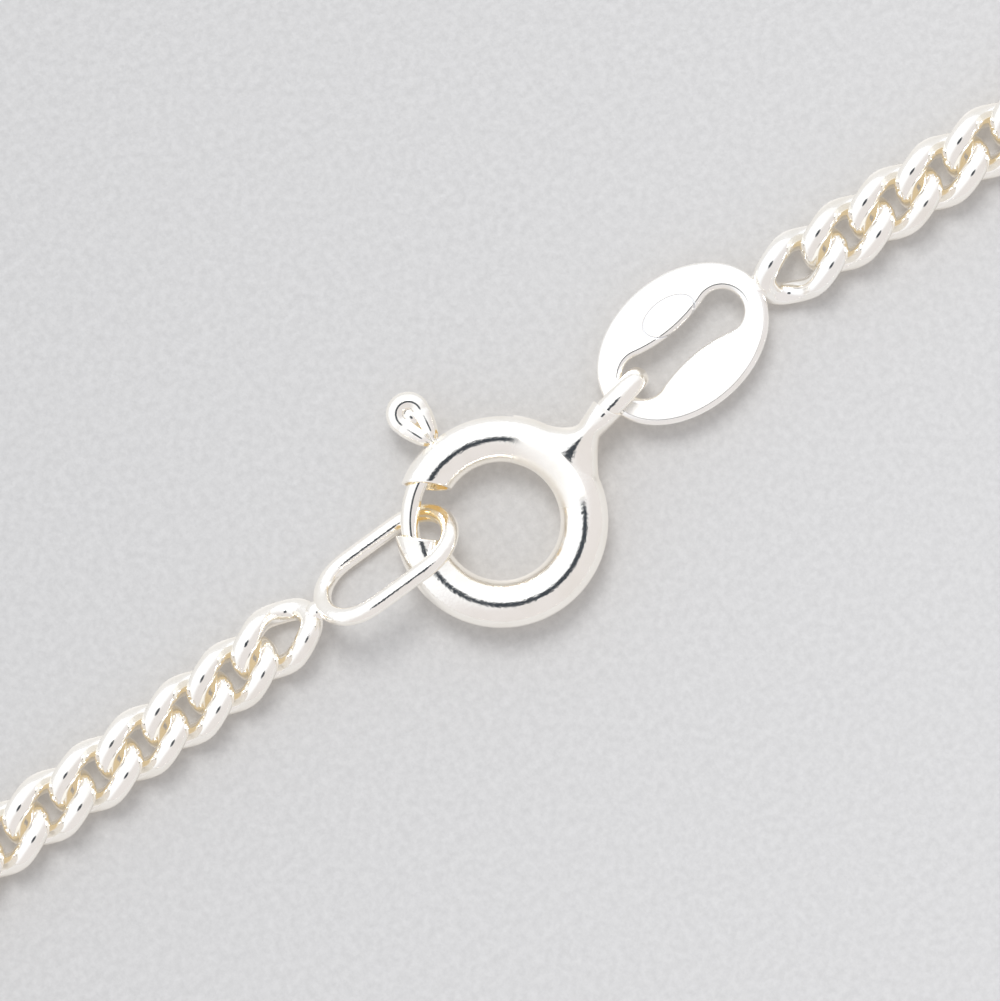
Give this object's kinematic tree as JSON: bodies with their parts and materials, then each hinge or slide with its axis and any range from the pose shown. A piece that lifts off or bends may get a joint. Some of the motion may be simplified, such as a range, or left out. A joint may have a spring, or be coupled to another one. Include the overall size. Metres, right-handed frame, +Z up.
{
  "type": "curb chain necklace",
  "caption": "Fine curb chain necklace, closed with a spring ring that holds an oval end ring, with an oval slotted tag on its other side.",
  "frame": {"origin": "on the surface the necklace rests on, under the middle of the whole laid-out loop", "axes": "+X along the chain at the clasp, +Y from the loop's middle towards the clasp, +Z up"},
  "size_m": [0.1632, 0.1201, 0.0027],
  "materials": {
    "ring_silver": "polished silver",
    "latch_silver": "polished silver",
    "tag_silver": "pale silver, softly polished",
    "chain_silver": "polished silver"
  },
  "bodies": {
    "necklace": {"spring_ring": "ring_silver", "tag": "tag_silver", "end_ring": "ring_silver", "chain_back": "chain_silver", "link_left_1": "chain_silver", "link_left_2": "chain_silver", "link_left_3": "chain_silver", "link_left_4": "chain_silver", "link_left_5": "chain_silver", "link_left_6": "chain_silver", "link_left_7": "chain_silver", "link_left_8": "chain_silver", "link_left_9": "chain_silver", "link_left_10": "chain_silver", "link_left_11": "chain_silver", "link_left_12": "chain_silver", "link_left_13": "chain_silver", "link_left_14": "chain_silver", "link_left_15": "chain_silver", "link_left_16": "chain_silver", "link_left_17": "chain_silver", "link_left_18": "chain_silver", "link_left_19": "chain_silver", "link_left_20": "chain_silver", "link_right_1": "chain_silver", "link_right_2": "chain_silver", "link_right_3": "chain_silver", "link_right_4": "chain_silver", "link_right_5": "chain_silver", "link_right_6": "chain_silver", "link_right_7": "chain_silver", "link_right_8": "chain_silver", "link_right_9": "chain_silver", "link_right_10": "chain_silver", "link_right_11": "chain_silver", "link_right_12": "chain_silver", "link_right_13": "chain_silver", "link_right_14": "chain_silver", "link_right_15": "chain_silver", "link_right_16": "chain_silver", "link_right_17": "chain_silver", "link_right_18": "chain_silver", "link_right_19": "chain_silver", "link_right_20": "chain_silver"},
    "latch": {"latch": "latch_silver"}
  },
  "joints": [
    {"name": "latch_pull", "type": "hinge", "parent": "necklace", "child": "latch", "pos_m": [0.006, 0.05463, 0.00115], "axis": [0, 0, 1], "range_deg": [-41.6, 0], "stiffness_Nm_per_rad": 0.001, "springref_deg": 22.92}
  ]
}
